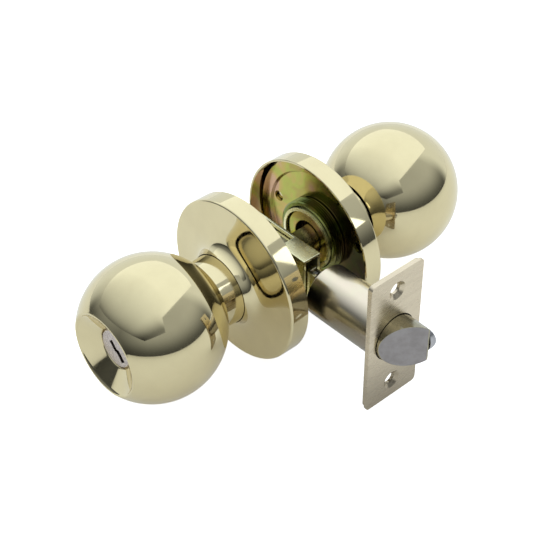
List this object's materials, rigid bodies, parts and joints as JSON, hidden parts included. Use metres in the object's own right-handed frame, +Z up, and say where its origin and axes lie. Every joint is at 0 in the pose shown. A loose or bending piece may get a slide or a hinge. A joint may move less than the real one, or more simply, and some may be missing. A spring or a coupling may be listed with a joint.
{
  "type": "door knob",
  "caption": "Keyed door knob set: two ball knobs on round roses, a chassis with a sprung retractor, and a tubular latch with a bevelled bolt, a deadlatch plunger and a faceplate.",
  "frame": {"origin": "where the knob axis crosses the latch axis, in the middle of the door gap", "axes": "+X towards the door edge and the latch faceplate, +Y along the knob axis to the room side, +Z up"},
  "size_m": [0.1035, 0.1628, 0.0642],
  "materials": {
    "polished_gold": "polished pale gold plate, lacquered",
    "satin_gold": "satin pale gold plate",
    "zinc_iridescent": "yellow-passivated zinc with a green and purple sheen",
    "zinc_pale": "pale yellow zinc",
    "steel_grey": "sintered steel, satin",
    "spring_steel": "drawn wire",
    "plug_nickel": "nickel-plated brass, fine turned face",
    "cylinder_brass": "machined brass",
    "die_cast": "raw zinc die casting"
  },
  "bodies": {
    "root": {"key_rose": "polished_gold", "room_rose": "polished_gold", "key_mounting_plate": "zinc_iridescent", "room_mounting_plate": "zinc_iridescent", "key_hub_nut": "zinc_iridescent", "room_hub_nut": "zinc_iridescent", "key_hub_bush": "zinc_iridescent", "room_hub_bush": "zinc_iridescent", "key_return_spring": "spring_steel", "room_return_spring": "spring_steel", "chassis_drum": "zinc_iridescent", "retractor_housing": "zinc_pale", "retractor_spring_lower": "spring_steel", "retractor_spring_upper": "spring_steel", "latch_faceplate": "satin_gold", "latch_back_plate": "satin_gold", "latch_tube": "satin_gold", "latch_guide": "zinc_iridescent", "bolt_spring": "spring_steel", "plunger_spring": "spring_steel"},
    "key_knob": {"key_knob_shell": "polished_gold", "key_knob_neck": "polished_gold", "key_knob_core": "die_cast", "key_spindle": "zinc_iridescent", "key_cylinder": "cylinder_brass", "key_cylinder_cap": "cylinder_brass", "driver_pin_1": "cylinder_brass", "driver_pin_2": "cylinder_brass", "driver_pin_3": "cylinder_brass", "driver_pin_4": "cylinder_brass", "driver_pin_5": "cylinder_brass", "pin_spring_1": "spring_steel", "pin_spring_2": "spring_steel", "pin_spring_3": "spring_steel", "pin_spring_4": "spring_steel", "pin_spring_5": "spring_steel"},
    "plug": {"key_plug": "plug_nickel", "key_plug_clip": "spring_steel", "key_tail_bar": "steel_grey", "key_pin_1": "cylinder_brass", "key_pin_2": "cylinder_brass", "key_pin_3": "cylinder_brass", "key_pin_4": "cylinder_brass", "key_pin_5": "cylinder_brass"},
    "room_knob": {"room_knob_shell": "polished_gold", "room_knob_neck": "polished_gold", "room_knob_core": "die_cast", "room_spindle": "zinc_iridescent", "button_spring": "spring_steel", "catch_spring": "spring_steel"},
    "button": {"turn_button": "polished_gold", "button_stem": "steel_grey"},
    "catch": {"knob_catch": "steel_grey"},
    "retractor": {"retractor_slide": "steel_grey", "latch_tail": "steel_grey"},
    "bolt": {"latch_bolt": "steel_grey"},
    "plunger": {"deadlatch_plunger": "steel_grey"}
  },
  "joints": [
    {"name": "key_knob_turn", "type": "hinge", "parent": "root", "child": "key_knob", "pos_m": [0, -0.059, 0], "axis": [0, 1, 0], "range_deg": [0, 75], "stiffness_Nm_per_rad": 0.3},
    {"name": "room_knob_turn", "type": "hinge", "parent": "root", "child": "room_knob", "pos_m": [0, 0.059, 0], "axis": [0, 1, 0], "range_deg": [-60, 60], "stiffness_Nm_per_rad": 0.3},
    {"name": "key_turn", "type": "hinge", "parent": "key_knob", "child": "plug", "pos_m": [0, -0.075, 0], "axis": [0, 1, 0], "range_deg": [-90, 90]},
    {"name": "button_turn", "type": "hinge", "parent": "room_knob", "child": "button", "pos_m": [0, 0.0763, 0], "axis": [0, 1, 0], "range_deg": [0, 90]},
    {"name": "catch_press", "type": "slide", "parent": "room_knob", "child": "catch", "axis": [1, 0, 0], "range_m": [-0.0016, 0], "stiffness_N_per_m": 300, "deforming": ["catch_spring"]},
    {"name": "retract", "type": "slide", "parent": "root", "child": "retractor", "axis": [1, 0, 0], "range_m": [-0.0109, 0], "deforming": ["retractor_spring_lower", "retractor_spring_upper"]},
    {"name": "bolt_push", "type": "slide", "parent": "retractor", "child": "bolt", "axis": [1, 0, 0], "range_m": [-0.0105, 0], "stiffness_N_per_m": 300, "deforming": ["bolt_spring"]},
    {"name": "plunger_push", "type": "slide", "parent": "retractor", "child": "plunger", "axis": [1, 0, 0], "range_m": [-0.009, 0], "stiffness_N_per_m": 150, "deforming": ["plunger_spring"]}
  ],
  "couplings": [
    {"joint": "retract", "follows": "key_knob_turn", "m_per_rad": -0.008251}
  ]
}
